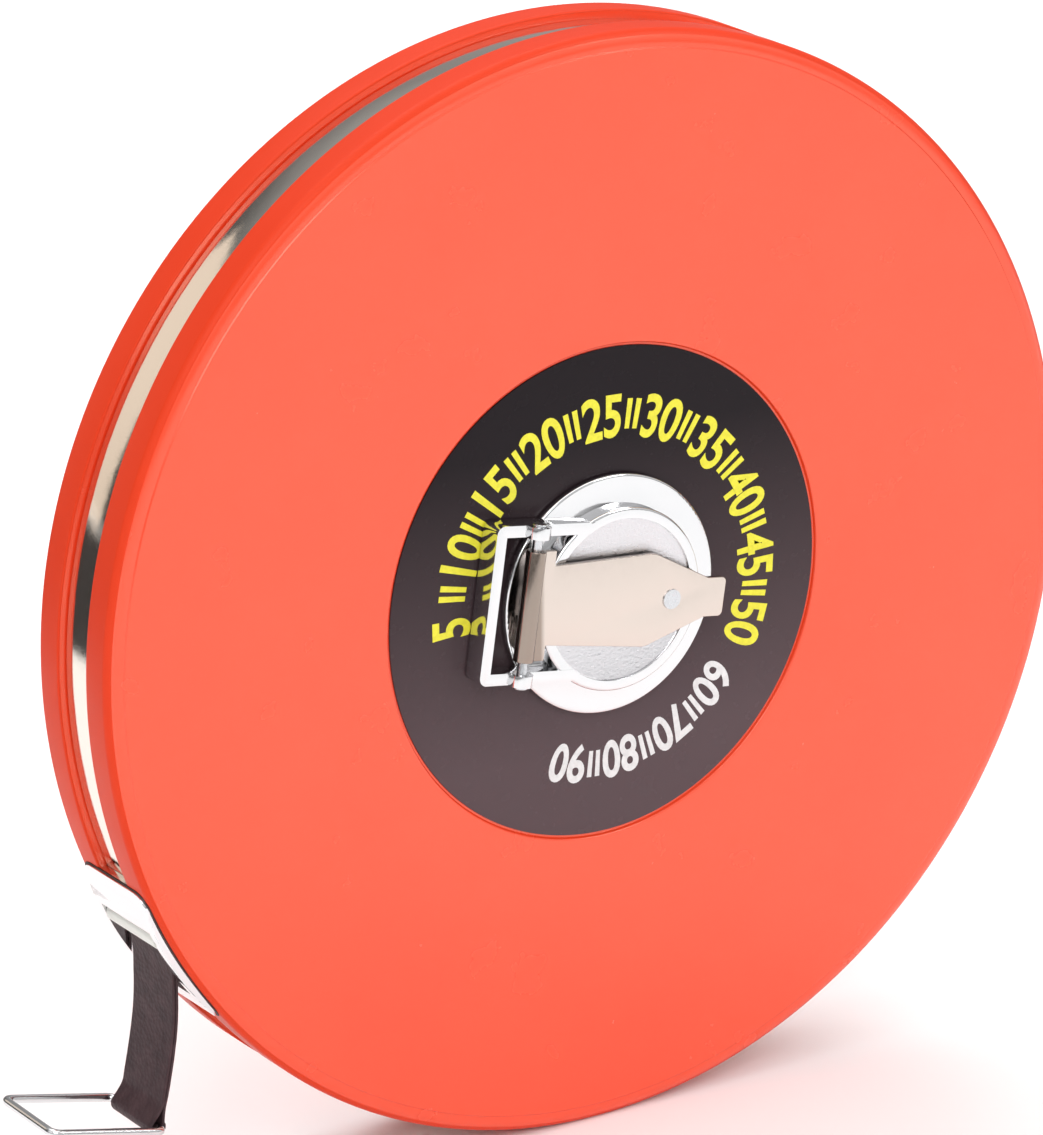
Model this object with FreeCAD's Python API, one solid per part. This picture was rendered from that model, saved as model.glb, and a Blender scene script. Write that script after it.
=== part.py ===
"""Closed-case long tape measure: a round case that stands on its rim, a folding crank on the
front, a mouth at the lower left and a strap with a wire ring on the tape's end.

Frame: +Z up, reel axis along Y, the back face lies on Y = 0 and the front looks towards -Y.
The crank hub is drawn in its own frame: u along the folded arm, v across it, h outwards from
the label. The tape's exit is drawn in the frame of the straight run: x away from the reel
axis, z along the tape towards the mouth, with the run's start at z = 0.
"""
import FreeCAD, Part
import math
import os

V = FreeCAD.Vector
AXIS = V(0, 1, 0)
ORIGIN = V(0, 0, 0)

# Case
CASE_R = 84.0
CASE_T = 20.6
WALL = 2.4
CAVITY_R = 79.9
STEP_R = 81.2
STEP_DEPTH = 0.2
EDGE_R = 81.6
EDGE_DEPTH = 1.75
FLANGE_W = 6.3
FLANGE_CHAMFER = 0.2
SKIRT_R = 82.2
LAP_R = 80.7
LAP = 2.0
LAP_GAP = 0.05
MID_Y = -CASE_T / 2
BAND_T = 0.6
BAND_GAP = 0.1
BACK_LINE_R = 37.8
BACK_LINE_W = 0.8
BACK_LINE_DEPTH = 0.4
BEARING_BOSS_R = 11.3
BEARING_BOSS_END = -5.5
RECESS_R = 8.3
RECESS_DEPTH = 2.6

# Label, on the floor of a shallow recess
LABEL_R = 37.4
LABEL_BORE_R = 15.6
LABEL_T = 0.25
LABEL_RECESS = 0.6
LABEL_RECESS_R = 37.8
LABEL_FLOOR = -CASE_T + LABEL_RECESS
LABEL_Y = LABEL_FLOOR - LABEL_T

# Reel and tape
TAPE_W = 13.0
TAPE_T = 0.35
ROLL_R = 76.6
REEL_R = 79.2
REEL_DISC_T = 0.8
REEL_GAP = 0.3
CORE_R = 18.0
CORE_FRONT_BORE_R = 14.1
CORE_BACK_BORE_R = 14.5
CORE_WEB_FRONT = -14.7
CORE_WEB_BACK = -11.0
CORE_HUB_R = 6.0
CORE_HUB_END = -6.6
ANCHOR_R = 1.0
ANCHOR_AT = 16.2

# Spindle and what holds it
SPINDLE_R = 3.0
SPINDLE_FRONT = -15.05
SPINDLE_BACK = -2.5
SCREW_R = 1.5
SCREW_END = -9.5
SCREW_HEAD_R = 3.6
SCREW_HEAD_T = 1.3
SCREW_SLOT_W = 0.9
SCREW_SLOT_L = 4.6
SCREW_SLOT_DEPTH = 0.8
BACK_WASHER_R = 7.4
BACK_WASHER_T = 0.8
BUSH_R = 4.5
BUSH_FLANGE_R = 6.4
BUSH_FLANGE_T = 0.5
WAVE_R = 5.6
WAVE_T = 0.4
RUNNING_FIT = 0.05
FRONT_BORE_R = 15.2
FRONT_BUSH_BORE_R = 14.06

# Crank hub
HUB_TURN = -8.2
HUB_FLANGE_R = 18.3
HUB_FLANGE_LOW = 0.3
HUB_FLANGE_TOP = 1.2
HUB_EDGE = 0.45
CUP_R = 14.0
CUP_LOW = -5.5
BOSS_TOP = 4.0
BOSS_RIM_W = 1.6
BOSS_RIM_H = 0.35
WELL_FLOOR = -4.4
WELL_R = 4.1
WELL_NEAR_U = 8.2
WELL_FAR_U = 8.95
TENON = 9.0
TENON_FIT = 0.05
TENON_LOW = -7.9
BRACKET_END_U = -23.3
BRACKET_HALF = 12.0
BRACKET_WALL = 1.75
BRACKET_TOP = 4.05
BRACKET_CORNER = 1.3
LUG_R = 1.75
PIN_U = -16.5
PIN_H = 4.6
PIN_R = 0.75
PIN_HEAD_R = 1.1
PIN_HEAD_T = 0.4
THRUST_R = 17.4
THRUST_BORE_R = 14.3
THRUST_T = 0.25

# Crank arm and knob
ARM_T = 0.9
ARM_LOW = PIN_H - ARM_T / 2
KNUCKLE_R = 1.5
KNUCKLE_HALF = 8.3
ARM_ROOT_U = -13.2
ARM_ROOT_HALF = 6.0
ARM_WIDE_U = 4.5
ARM_WIDE_HALF = 7.1
ARM_TAPER_U = 14.6
TAB_HALF = 3.0
TAB_END_U = 17.9
ARM_CORNER = 0.8
KNOB_U = 8.4
KNOB_R = 3.3
KNOB_WAIST_R = 2.95
KNOB_TOP = 4.05
KNOB_LOW = -3.15
KNOB_EDGE = 0.5
KNOB_TIP_EDGE = 1.6
KNOB_PIN_R = 1.2
KNOB_HEAD_R = 2.0
KNOB_HEAD_T = 0.5
KNOB_COUNTERBORE_R = 2.3
RIVET_R = 1.5
RIVET_PROUD = 0.15

# Tape's way out. Angles about the reel axis from +X, anticlockwise seen from the front.
RUN_AXIS_R = ROLL_R + TAPE_T / 2 + 0.07
EXIT_ANGLE = 211.5
RUN_LENGTH = math.sqrt(CASE_R ** 2 - RUN_AXIS_R ** 2)
RUN_ANGLE = EXIT_ANGLE - math.degrees(math.acos(RUN_AXIS_R / CASE_R))

# Mouthpiece
SADDLE_START = 201.7
SADDLE_END = 218.8
SADDLE_PEAK_R = 85.2
SADDLE_END_R = 84.4
SADDLE_HALF_W = 8.7
SADDLE_EDGE = 0.4
SADDLE_CORNER = 2.5
THROAT_START = 202.9
THROAT_END = 216.8
THROAT_HALF_W = 7.8
THROAT_INNER_R = 80.1
SLOT_HALF_W = 6.9
SLOT_OUTER = 0.95
SLOT_INNER = 1.3
SLOT_FROM = 12.0
SLOT_TO = 60.0
LIP_FROM = 27.2
LIP_OPENS = 6.0
OUTER_ROLLER_R = 1.5
INNER_ROLLER_R = 1.1
ROLLER_BORE_R = 0.5
ROLLER_PIN_R = 0.45
ROLLER_HALF = 6.7
ROLLER_PIN_HALF = 7.7
ROLLER_POCKET_GAP = 0.2
ROLLER_OFFSET = 1.8
OUTER_ROLLER_Z = 28.93
INNER_ROLLER_Z = 34.2

# Strap and ring
STRAP_W = 11.4
STRAP_T = 1.0
STRAP_TOP_Z = RUN_LENGTH - 3.0
STRAP_BENDS_Z = RUN_LENGTH + 1.5
STRAP_MIDDLE = (-71.45, -51.0)
STRAP_LOW = (-72.1, -57.5)
STRAP_CURL = (-73.3, -63.8)
LOOP_CENTRE = (-74.8, -68.7)
LOOP_R = 1.55
RING_WIRE_R = 0.65
RING_FIT = 0.07
RING_HALF_W = 7.3
RING_LENGTH = 18.5
RING_CORNER = 1.5
RING_TILT = 12.8


def cylinder_y(radius, y_front, y_back, x=0.0, z=0.0):
    """Cylinder along Y between two Y values."""
    return Part.makeCylinder(radius, y_back - y_front, V(x, y_front, z), AXIS)


def ring_y(outer, inner, y_front, y_back):
    """Flat ring about the reel axis."""
    return cylinder_y(outer, y_front, y_back).cut(cylinder_y(inner, y_front - 1, y_back + 1))


def edges_through(points):
    """Straight edges from point to point."""
    vectors = [V(*point) for point in points]
    return [Part.LineSegment(a, b).toShape() for a, b in zip(vectors, vectors[1:])]


def arc_through(start, middle, end):
    """One arc edge through three points."""
    return Part.Arc(V(*start), V(*middle), V(*end)).toShape()


def revolve(edges, degrees=360.0):
    """Solid of revolution about the reel axis from closed edges drawn as (r, y)."""
    return Part.Face(Part.Wire(edges)).revolve(ORIGIN, AXIS, degrees)


def turned(shape, degrees):
    """Turn a shape drawn at angle 0 to an angle about the reel axis, seen from the front."""
    shape.rotate(ORIGIN, AXIS, -degrees)
    return shape


def sector(inner, outer, half_width, start, end):
    """Block between two radii, two angles and two planes each side of the middle."""
    low = MID_Y - half_width
    high = MID_Y + half_width
    corners = [(inner, low), (outer, low), (outer, high), (inner, high), (inner, low)]
    block = revolve(edges_through([(r, y, 0) for r, y in corners]), end - start)
    return turned(block, end)


def case_edge(flip):
    """Rounded outer edge of a shell as (r, y), at the back face, or flipped to the front."""
    def place(y):
        return -CASE_T - y if flip else y
    quarter = math.sqrt(0.5)
    reach_r = CASE_R - EDGE_R
    reach_y = EDGE_DEPTH - STEP_DEPTH
    start = (EDGE_R, place(-STEP_DEPTH), 0)
    middle = (EDGE_R + reach_r * quarter, place(-EDGE_DEPTH + reach_y * quarter), 0)
    end = (CASE_R, place(-EDGE_DEPTH), 0)
    return start, middle, end


def front_cover():
    """Front shell: face, label recess, rounded edge, flange and the inner lip of the lap."""
    start, middle, end = case_edge(True)
    groove = -CASE_T + FLANGE_W
    face = [
        (FRONT_BORE_R, LABEL_FLOOR, 0),
        (LABEL_RECESS_R, LABEL_FLOOR, 0),
        (LABEL_RECESS_R + 0.15, -CASE_T, 0),
        (STEP_R, -CASE_T, 0),
        (STEP_R + 0.2, -CASE_T + STEP_DEPTH, 0),
        start,
    ]
    rim = [
        end,
        (CASE_R, groove - FLANGE_CHAMFER, 0),
        (CASE_R - FLANGE_CHAMFER, groove, 0),
        (SKIRT_R, groove, 0),
        (SKIRT_R, MID_Y, 0),
        (LAP_R, MID_Y, 0),
        (LAP_R, MID_Y + LAP - LAP_GAP, 0),
        (CAVITY_R, MID_Y + LAP - LAP_GAP, 0),
        (CAVITY_R, -CASE_T + WALL, 0),
        (FRONT_BORE_R, -CASE_T + WALL, 0),
        (FRONT_BORE_R, LABEL_FLOOR, 0),
    ]
    shell = revolve(edges_through(face) + [arc_through(start, middle, end)] + edges_through(rim))
    return shell.cut(throat_block())


def back_cover():
    """Back shell: flat face, bearing boss with the screw's recess, and the outer lip."""
    start, middle, end = case_edge(False)
    line_in = BACK_LINE_R - BACK_LINE_W / 2
    line_out = BACK_LINE_R + BACK_LINE_W / 2
    face = [
        (BUSH_R, -RECESS_DEPTH, 0),
        (RECESS_R, -RECESS_DEPTH, 0),
        (RECESS_R, 0, 0),
        (line_in, 0, 0),
        (line_in, -BACK_LINE_DEPTH, 0),
        (line_out, -BACK_LINE_DEPTH, 0),
        (line_out, 0, 0),
        (STEP_R, 0, 0),
        (STEP_R + 0.2, -STEP_DEPTH, 0),
        start,
    ]
    rim = [
        end,
        (CASE_R, -FLANGE_W + FLANGE_CHAMFER, 0),
        (CASE_R - FLANGE_CHAMFER, -FLANGE_W, 0),
        (SKIRT_R, -FLANGE_W, 0),
        (SKIRT_R, MID_Y, 0),
        (LAP_R, MID_Y, 0),
        (LAP_R, MID_Y + LAP, 0),
        (CAVITY_R, MID_Y + LAP, 0),
        (CAVITY_R, -WALL, 0),
        (BEARING_BOSS_R, -WALL, 0),
        (BEARING_BOSS_R, BEARING_BOSS_END, 0),
        (BUSH_R, BEARING_BOSS_END, 0),
        (BUSH_R, -RECESS_DEPTH, 0),
    ]
    shell = revolve(edges_through(face) + [arc_through(start, middle, end)] + edges_through(rim))
    return shell.cut(throat_block())


def rim_band():
    """Steel band in the groove, open where the mouthpiece sits."""
    half_width = (CASE_T - 2 * FLANGE_W) / 2 - BAND_GAP
    outer = SKIRT_R + BAND_T
    return sector(SKIRT_R, outer, half_width, THROAT_END - 360, THROAT_START)


def throat_block():
    """The sector of the rim that the mouthpiece takes the place of."""
    return sector(CAVITY_R - 0.2, CASE_R + 1, THROAT_HALF_W, THROAT_START, THROAT_END)


def saddle():
    """Crowned outer part of the mouthpiece, before the case is cut from under it."""
    half_angle = math.radians((SADDLE_END - SADDLE_START) / 2)
    rise = SADDLE_PEAK_R - SADDLE_END_R * math.cos(half_angle)
    centre = (SADDLE_PEAK_R ** 2 - SADDLE_END_R ** 2) / (2 * rise)
    crown = cylinder_y(SADDLE_PEAK_R - centre, MID_Y - SADDLE_HALF_W, MID_Y + SADDLE_HALF_W, centre)
    rims = [edge for edge in crown.Edges if isinstance(edge.Curve, Part.Circle)]
    crown = crown.makeFillet(SADDLE_EDGE, rims)
    turned(crown, (SADDLE_START + SADDLE_END) / 2)
    outer = SADDLE_PEAK_R + 1
    piece = sector(THROAT_INNER_R, outer, SADDLE_HALF_W, SADDLE_START, SADDLE_END)
    lines = [edge for edge in piece.Edges if isinstance(edge.Curve, Part.Line)]
    corners = [edge for edge in lines if abs(edge.Length - (outer - THROAT_INNER_R)) < 0.01]
    return piece.makeFillet(SADDLE_CORNER, corners).common(crown)


def tape_frame_box(x_low, x_high, half_width, z_low, z_high):
    """Box in the frame of the tape's straight run."""
    size = (x_high - x_low, 2 * half_width, z_high - z_low)
    box = Part.makeBox(*size, V(x_low, MID_Y - half_width, z_low))
    return turned(box, RUN_ANGLE)


def tape_frame_rod(radius, half_length, x, z):
    """Rod along Y in the frame of the tape's straight run."""
    rod = cylinder_y(radius, MID_Y - half_length, MID_Y + half_length, x, z)
    return turned(rod, RUN_ANGLE)


def rollers():
    """Each roller's radius and its place in the frame of the run: the outer one, then the inner."""
    outer = (OUTER_ROLLER_R, RUN_AXIS_R + ROLLER_OFFSET, OUTER_ROLLER_Z)
    inner = (INNER_ROLLER_R, RUN_AXIS_R - ROLLER_OFFSET, INNER_ROLLER_Z)
    return outer, inner


def mouthpiece(covers):
    """Chromed saddle with a throat through the rim, pockets and holes for the rollers."""
    outer = RUN_AXIS_R + SLOT_OUTER
    inner = RUN_AXIS_R - SLOT_INNER
    piece = saddle().cut(covers)
    piece = piece.cut(tape_frame_box(inner, outer, SLOT_HALF_W, SLOT_FROM, SLOT_TO))
    piece = piece.cut(tape_frame_box(inner, outer + LIP_OPENS, SLOT_HALF_W, LIP_FROM, SLOT_TO))
    for radius, x, z in rollers():
        piece = piece.cut(tape_frame_rod(radius + ROLLER_POCKET_GAP, SLOT_HALF_W, x, z))
        piece = piece.cut(tape_frame_rod(ROLLER_PIN_R, ROLLER_PIN_HALF, x, z))
    return piece


def mouth_roller(radius, x, z):
    """One roller with its bore."""
    body = tape_frame_rod(radius, ROLLER_HALF, x, z)
    return body.cut(tape_frame_rod(ROLLER_BORE_R, ROLLER_HALF + 1, x, z))


def roller_pins():
    """The two pins that the rollers turn on."""
    pins = [tape_frame_rod(ROLLER_PIN_R, ROLLER_PIN_HALF, x, z) for _, x, z in rollers()]
    return Part.makeCompound(pins)


def front_label():
    """Ring label on the floor of the front recess."""
    return ring_y(LABEL_R, LABEL_BORE_R, LABEL_Y, LABEL_FLOOR)


def front_bush():
    """Bearing ring between the front cover and the crank hub's cup."""
    return ring_y(FRONT_BORE_R, FRONT_BUSH_BORE_R, LABEL_FLOOR, -CASE_T + WALL)


def back_bush():
    """Flanged bearing for the spindle in the back cover's boss."""
    bore = SPINDLE_R + RUNNING_FIT
    sleeve = ring_y(BUSH_R, bore, BEARING_BOSS_END, -RECESS_DEPTH)
    flange = ring_y(BUSH_FLANGE_R, bore, BEARING_BOSS_END - BUSH_FLANGE_T, BEARING_BOSS_END)
    return sleeve.fuse(flange).removeSplitter()


def thrust_washer():
    """Thin washer between the label and the crank hub's flange."""
    return ring_y(THRUST_R, THRUST_BORE_R, LABEL_Y - THRUST_T, LABEL_Y)


def reel_core():
    """Drum with a web, a hub tube for the spindle and a square socket for the crank hub."""
    front = -CASE_T + WALL + REEL_GAP + REEL_DISC_T
    back = -WALL - REEL_GAP - REEL_DISC_T
    outline = [
        (CORE_FRONT_BORE_R, front, 0),
        (CORE_R, front, 0),
        (CORE_R, back, 0),
        (CORE_BACK_BORE_R, back, 0),
        (CORE_BACK_BORE_R, CORE_WEB_BACK, 0),
        (CORE_HUB_R, CORE_WEB_BACK, 0),
        (CORE_HUB_R, CORE_HUB_END, 0),
        (SPINDLE_R, CORE_HUB_END, 0),
        (SPINDLE_R, CORE_WEB_FRONT, 0),
        (CORE_FRONT_BORE_R, CORE_WEB_FRONT, 0),
        (CORE_FRONT_BORE_R, front, 0),
    ]
    drum = revolve(edges_through(outline))
    half = TENON / 2 + TENON_FIT
    depth = CUP_LOW - TENON_LOW + TENON_FIT
    socket = Part.makeBox(2 * half, 2 * half, depth, V(-half, -half, CUP_LOW - depth))
    drum = drum.cut(in_hub_frame(socket))
    return drum.cut(tape_anchor_pin())


def reel_disc(y_front, bore):
    """Thin side disc of the reel."""
    return ring_y(REEL_R, bore, y_front, y_front + REEL_DISC_T)


def wound_tape():
    """The full roll as one closed ring."""
    return ring_y(ROLL_R, CORE_R, MID_Y - TAPE_W / 2, MID_Y + TAPE_W / 2)


def tape_anchor_pin():
    """Pin in the core that holds the tape's inner end."""
    return cylinder_y(ANCHOR_R, MID_Y - TAPE_W / 2, MID_Y + TAPE_W / 2, ANCHOR_AT)


def spindle():
    """Shaft with a threaded hole in its back end."""
    shaft = cylinder_y(SPINDLE_R, SPINDLE_FRONT, SPINDLE_BACK)
    return shaft.cut(cylinder_y(SCREW_R, SCREW_END, SPINDLE_BACK + 1))


def wave_washer():
    """Spring washer between the core's hub and the back bush."""
    back = CORE_HUB_END + WAVE_T
    return ring_y(WAVE_R, SPINDLE_R + RUNNING_FIT, CORE_HUB_END, back)


def back_washer():
    """Washer in the back recess that keeps the spindle in its bush."""
    return ring_y(BACK_WASHER_R, SCREW_R, SPINDLE_BACK, SPINDLE_BACK + BACK_WASHER_T)


def back_screw():
    """Cross-slotted screw in the end of the spindle, below the back face."""
    head_low = SPINDLE_BACK + BACK_WASHER_T
    head_top = head_low + SCREW_HEAD_T
    head = cylinder_y(SCREW_HEAD_R, head_low, head_top)
    crown = [edge for edge in head.Edges if abs(edge.BoundBox.YMin - head_top) < 0.01
             and edge.Length > SCREW_HEAD_R * 6]
    head = head.makeFillet(SCREW_HEAD_T * 0.6, crown)
    for width, length in ((SCREW_SLOT_W, SCREW_SLOT_L), (SCREW_SLOT_L, SCREW_SLOT_W)):
        corner = V(-width / 2, head_top - SCREW_SLOT_DEPTH, -length / 2)
        head = head.cut(Part.makeBox(width, SCREW_SLOT_DEPTH + 1, length, corner))
    return head.fuse(cylinder_y(SCREW_R, SCREW_END, head_low)).removeSplitter()


def in_hub_frame(shape):
    """Place a shape drawn as (u, v, h) on the front of the case."""
    angle = math.radians(HUB_TURN)
    u = V(math.cos(angle), 0, math.sin(angle))
    v = V(-math.sin(angle), 0, math.cos(angle))
    matrix = FreeCAD.Matrix(u.x, v.x, 0, 0,
                            0, 0, -1, LABEL_Y,
                            u.z, v.z, 0, 0,
                            0, 0, 0, 1)
    return shape.transformed(matrix)


def disc_h(radius, low, top, u=0.0, edge=0.0):
    """Disc about an h line, with its top edge rounded if asked."""
    disc = Part.makeCylinder(radius, top - low, V(u, 0, low))
    if edge:
        rim = [e for e in disc.Edges if abs(e.BoundBox.ZMin - top) < 0.01 and e.Length > radius * 6]
        disc = disc.makeFillet(edge, rim)
    return disc


def rod_v(radius, low, high):
    """Rod along the hinge pin's line."""
    return Part.makeCylinder(radius, high - low, V(PIN_U, low, PIN_H), V(0, 1, 0))


def hinge_bracket():
    """Walls of the hinge bracket with a rounded lug on each ear."""
    height = BRACKET_TOP - HUB_FLANGE_LOW
    corner = V(BRACKET_END_U, -BRACKET_HALF, HUB_FLANGE_LOW)
    walls = Part.makeBox(-BRACKET_END_U - CUP_R / 2, 2 * BRACKET_HALF, height, corner)
    upright = [edge for edge in walls.Edges if edge.BoundBox.ZLength > height / 2
               and edge.BoundBox.XMax < BRACKET_END_U + 1]
    walls = walls.makeFillet(BRACKET_CORNER, upright)
    inner_half = BRACKET_HALF - BRACKET_WALL
    inner_corner = V(BRACKET_END_U + BRACKET_WALL, -inner_half, -10)
    walls = walls.cut(Part.makeBox(40, 2 * inner_half, 30, inner_corner))
    for low in (-BRACKET_HALF, inner_half):
        lug = rod_v(LUG_R, low, low + BRACKET_WALL)
        foot = V(PIN_U - LUG_R, low, HUB_FLANGE_LOW)
        lug = lug.fuse(Part.makeBox(2 * LUG_R, BRACKET_WALL, PIN_H - HUB_FLANGE_LOW, foot))
        walls = walls.fuse(lug)
    return walls


def crank_base():
    """Chromed hub: flange, boss with a raised rim, cup with the knob's well, and the tenon."""
    hub = disc_h(HUB_FLANGE_R, HUB_FLANGE_LOW, HUB_FLANGE_TOP, edge=HUB_EDGE)
    hub = hub.fuse(disc_h(CUP_R, CUP_LOW, BOSS_TOP, edge=HUB_EDGE)).fuse(hinge_bracket())
    half = TENON / 2
    hub = hub.fuse(Part.makeBox(TENON, TENON, CUP_LOW - TENON_LOW, V(-half, -half, TENON_LOW)))
    hub = hub.removeSplitter()
    hub = hub.cut(disc_h(CUP_R - BOSS_RIM_W, BOSS_TOP - BOSS_RIM_H, BOSS_TOP + 1))
    well = disc_h(WELL_R, WELL_FLOOR, BOSS_TOP + 1, u=WELL_NEAR_U)
    well = well.fuse(disc_h(WELL_R, WELL_FLOOR, BOSS_TOP + 1, u=WELL_FAR_U))
    between = V(WELL_NEAR_U, -WELL_R, WELL_FLOOR)
    height = BOSS_TOP + 1 - WELL_FLOOR
    well = well.fuse(Part.makeBox(WELL_FAR_U - WELL_NEAR_U, 2 * WELL_R, height, between))
    hub = hub.cut(well)
    hub = hub.cut(rod_v(PIN_R, -BRACKET_HALF - 1, BRACKET_HALF + 1))
    return in_hub_frame(hub).cut(cylinder_y(SPINDLE_R, SPINDLE_FRONT, SPINDLE_BACK))


def hinge_pin():
    """Pin through both ears with a head at each end."""
    pin = rod_v(PIN_R, -BRACKET_HALF, BRACKET_HALF)
    for low in (-BRACKET_HALF - PIN_HEAD_T, BRACKET_HALF):
        pin = pin.fuse(rod_v(PIN_HEAD_R, low, low + PIN_HEAD_T))
    return in_hub_frame(pin)


def arm_plate():
    """Spade-shaped plate of the arm, wide at its knuckle, ending in a finger tab."""
    half = [
        (PIN_U, KNUCKLE_HALF),
        (ARM_ROOT_U, KNUCKLE_HALF),
        (ARM_ROOT_U, ARM_ROOT_HALF),
        (ARM_WIDE_U, ARM_WIDE_HALF),
        (ARM_TAPER_U, TAB_HALF),
        (TAB_END_U, TAB_HALF),
    ]
    outline = half + [(u, -v) for u, v in reversed(half)] + half[:1]
    face = Part.Face(Part.Wire(edges_through([(u, v, ARM_LOW) for u, v in outline])))
    plate = face.extrude(V(0, 0, ARM_T))
    upright = [edge for edge in plate.Edges if edge.BoundBox.ZLength > ARM_T / 2
               and edge.BoundBox.XMin > ARM_TAPER_U + 0.1]
    plate = plate.makeFillet(ARM_CORNER, upright)
    wide = [edge for edge in plate.Edges if edge.BoundBox.ZLength > ARM_T / 2
            and abs(edge.BoundBox.XMin - ARM_WIDE_U) < 0.1]
    return plate.makeFillet(ARM_CORNER * 4, wide)


def crank_arm():
    """Folding arm: plate, knuckle round the hinge pin and a hole for the knob's pin."""
    arm = arm_plate().fuse(rod_v(KNUCKLE_R, -KNUCKLE_HALF, KNUCKLE_HALF)).removeSplitter()
    arm = arm.cut(rod_v(PIN_R + RUNNING_FIT, -BRACKET_HALF, BRACKET_HALF))
    arm = arm.cut(disc_h(KNOB_PIN_R, ARM_LOW - 1, PIN_H + 2, u=KNOB_U))
    return in_hub_frame(arm)


def knob_pin():
    """Pin riveted in the arm, with a head that holds the knob on."""
    low = KNOB_LOW + KNOB_HEAD_T
    pin = disc_h(KNOB_PIN_R, low, ARM_LOW + ARM_T, u=KNOB_U)
    pin = pin.fuse(disc_h(KNOB_HEAD_R, KNOB_LOW + RUNNING_FIT, low + RUNNING_FIT, u=KNOB_U))
    rivet = disc_h(RIVET_R, ARM_LOW + ARM_T, ARM_LOW + ARM_T + RIVET_PROUD, u=KNOB_U)
    return in_hub_frame(pin.fuse(rivet).removeSplitter())


def knob():
    """Winding knob with a slight waist, bored for its pin."""
    middle = (KNOB_TOP + KNOB_LOW) / 2
    outline = edges_through([
        (0, 0, KNOB_LOW),
        (KNOB_R - KNOB_TIP_EDGE, 0, KNOB_LOW),
        (KNOB_R, 0, KNOB_LOW + KNOB_TIP_EDGE),
    ])
    outline.append(arc_through((KNOB_R, 0, KNOB_LOW + KNOB_TIP_EDGE), (KNOB_WAIST_R, 0, middle + 0.5),
                               (KNOB_R, 0, KNOB_TOP - KNOB_EDGE)))
    outline += edges_through([
        (KNOB_R, 0, KNOB_TOP - KNOB_EDGE),
        (KNOB_R - KNOB_EDGE, 0, KNOB_TOP),
        (0, 0, KNOB_TOP),
        (0, 0, KNOB_LOW),
    ])
    body = Part.Face(Part.Wire(outline)).revolve(ORIGIN, V(0, 0, 1), 360)
    body.translate(V(KNOB_U, 0, 0))
    body = body.cut(disc_h(KNOB_PIN_R + RUNNING_FIT, KNOB_LOW - 1, KNOB_TOP + 1, u=KNOB_U))
    depth_top = KNOB_LOW + KNOB_HEAD_T + 3 * RUNNING_FIT
    body = body.cut(disc_h(KNOB_COUNTERBORE_R, KNOB_LOW - 1, depth_top, u=KNOB_U))
    return in_hub_frame(body)


def tape_run():
    """Straight stretch of tape from the roll to the strap."""
    low = RUN_AXIS_R - TAPE_T / 2
    return tape_frame_box(low, low + TAPE_T, TAPE_W / 2, 0, STRAP_TOP_Z)


def run_point(along, offset):
    """Point beside the tape's line, as (x, z): offset is away from the reel axis."""
    angle = math.radians(RUN_ANGLE)
    radius = RUN_AXIS_R + offset
    x = radius * math.cos(angle) - along * math.sin(angle)
    z = radius * math.sin(angle) + along * math.cos(angle)
    return x, z


def strap_side(offset):
    """One long edge of the strap's section, from the throat down to the loop."""
    def beside(point, lean):
        angle = math.radians(lean)
        return point[0] - offset * math.cos(angle), 0, point[1] + offset * math.sin(angle)
    top_x, top_z = run_point(STRAP_TOP_Z, offset)
    bend_x, bend_z = run_point(STRAP_BENDS_Z, offset)
    top = (top_x, 0, top_z)
    bend = (bend_x, 0, bend_z)
    middle = beside(STRAP_MIDDLE, 2)
    low = beside(STRAP_LOW, 8)
    curl = beside(STRAP_CURL, 15)
    end = beside(LOOP_CENTRE, 35)
    return edges_through([top, bend]) + [arc_through(bend, middle, low), arc_through(low, curl, end)]


def end_strap():
    """Strap sewn over the tape's end and folded round the ring's wire."""
    left = strap_side(STRAP_T / 2)
    right = strap_side(-STRAP_T / 2)
    top = edges_through([tuple(left[0].Vertexes[0].Point), tuple(right[0].Vertexes[0].Point)])
    bottom = edges_through([tuple(left[-1].Vertexes[-1].Point), tuple(right[-1].Vertexes[-1].Point)])
    face = Part.Face(Part.Wire(Part.__sortEdges__(left + right + top + bottom)))
    strap = face.extrude(V(0, STRAP_W, 0))
    strap.translate(V(0, MID_Y - STRAP_W / 2, 0))
    low = MID_Y - STRAP_W / 2
    strap = strap.fuse(cylinder_y(LOOP_R, low, low + STRAP_W, *LOOP_CENTRE))
    hole = cylinder_y(RING_WIRE_R + RING_FIT, low - 1, low + STRAP_W + 1, *LOOP_CENTRE)
    return strap.cut(hole)


def end_ring():
    """Rectangular wire ring whose inner side lies in the strap's loop."""
    near = 0.0
    far = -RING_LENGTH
    corner = RING_CORNER
    half = RING_HALF_W
    soft = corner * (1 - math.sqrt(0.5))
    path = []
    for x_end, y_end, x_next, y_next in ((near, -half, far, -half), (far, -half, far, half),
                                         (far, half, near, half), (near, half, near, -half)):
        length = math.hypot(x_next - x_end, y_next - y_end)
        step = V((x_next - x_end) / length, (y_next - y_end) / length, 0)
        start = V(x_end, y_end, 0) + step * corner
        end = V(x_next, y_next, 0) - step * corner
        inward = V(step.y, -step.x, 0)
        path.append(Part.LineSegment(start, end).toShape())
        bend_end = V(x_next, y_next, 0) + inward * corner
        bend_middle = V(x_next, y_next, 0) - step * soft + inward * soft
        path.append(Part.Arc(end, bend_middle, bend_end).toShape())
    spine = Part.Wire(Part.__sortEdges__(path))
    start = V((near + far) / 2, -half, 0)
    profile = Part.Wire(Part.makeCircle(RING_WIRE_R, start, V(1, 0, 0)))
    ring = spine.makePipeShell([profile], True, False)
    ring.rotate(ORIGIN, AXIS, RING_TILT)
    ring.translate(V(LOOP_CENTRE[0], MID_Y, LOOP_CENTRE[1]))
    return ring


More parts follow.
